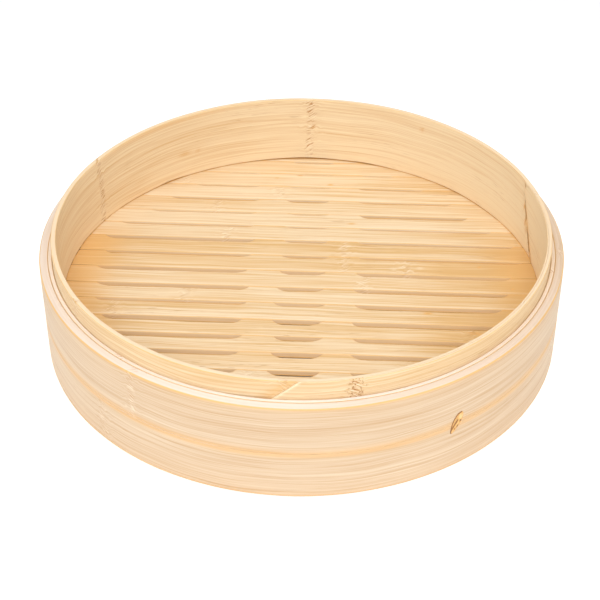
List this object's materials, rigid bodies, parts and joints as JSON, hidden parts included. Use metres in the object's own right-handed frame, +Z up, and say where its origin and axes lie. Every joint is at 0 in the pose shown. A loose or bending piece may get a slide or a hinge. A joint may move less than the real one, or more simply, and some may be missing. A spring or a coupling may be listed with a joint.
{
  "type": "bamboo steamer basket",
  "caption": "Round stackable steaming tier of bent bamboo hoops with a slatted floor, a raised collar that locates the tier above, and a recess below for the tier underneath.",
  "frame": {"origin": "middle of the underside, on the axis of the round wall", "axes": "+Z up along the axis; the floor slats run along X; +Y is the back"},
  "size_m": [0.3, 0.3, 0.0719],
  "materials": {
    "outer_hoop": "split bamboo, skin side out, scraped",
    "liner": "split bamboo, straight grain",
    "collar": "split bamboo, smooth skin side",
    "floor": "planed bamboo slat, satin",
    "frame": "rough split bamboo",
    "peg": "split bamboo peg"
  },
  "bodies": {
    "root": {"outer_hoop_lower": "outer_hoop", "outer_hoop_upper": "outer_hoop", "liner_hoop": "liner", "collar_hoop": "collar", "seat_ring": "frame", "cross_bar_left": "frame", "cross_bar_right": "frame", "slat_01": "floor", "slat_02": "floor", "slat_03": "floor", "slat_04": "floor", "slat_05": "floor", "slat_06": "floor", "slat_07": "floor", "slat_08": "floor", "slat_09": "floor", "slat_10": "floor", "slat_11": "floor", "slat_12": "floor", "slat_13": "floor", "slat_14": "floor", "slat_15": "floor", "slat_16": "floor", "slat_17": "floor", "slat_18": "floor", "slat_19": "floor", "wall_peg_front": "peg", "wall_peg_back_right": "peg", "wall_peg_back_left": "peg"}
  },
  "joints": []
}
